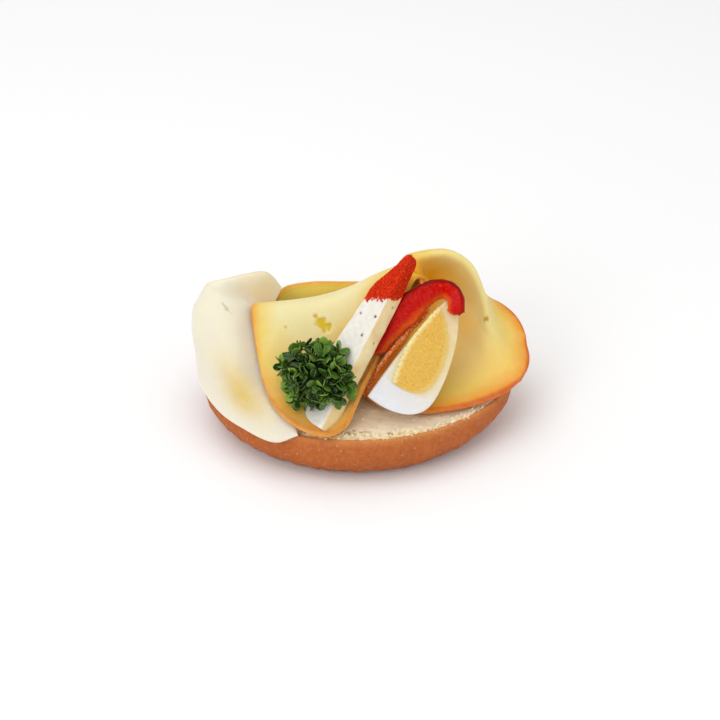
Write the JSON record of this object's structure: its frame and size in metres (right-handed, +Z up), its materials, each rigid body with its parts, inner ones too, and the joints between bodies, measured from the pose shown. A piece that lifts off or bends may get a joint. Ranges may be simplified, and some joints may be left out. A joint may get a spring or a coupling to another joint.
{
  "type": "open sandwich",
  "caption": "Open sandwich: half an oval roll with butter, folded cheese slices, a cheese wedge with paprika tip, egg wedge, red pepper strip and cress.",
  "frame": {"origin": "middle of the flat base of the half roll", "axes": "+X along the roll's length towards the hooded slice, +Z up, -Y towards the side the egg's cut face looks to"},
  "size_m": [0.1297, 0.0879, 0.0687],
  "materials": {
    "crust": "satin baked crust",
    "butter": "soft spread",
    "mild_cheese": "smooth, slightly moist",
    "smoked_cheese": "smooth, slightly moist",
    "soft_cheese": "powdery rind",
    "egg_white": "moist",
    "egg_yolk": "crumbly",
    "pepper": "wet",
    "cress": "leafy"
  },
  "bodies": {
    "root": {"roll_half": "crust", "butter": "butter", "mild_cheese": "mild_cheese", "smoked_cheese_left": "smoked_cheese", "smoked_cheese_right": "smoked_cheese", "smoked_cheese_back": "smoked_cheese", "camembert_wedge": "soft_cheese", "egg_white": "egg_white", "egg_yolk": "egg_yolk", "pepper_strip": "pepper", "cress_bunch": "cress"}
  },
  "joints": []
}
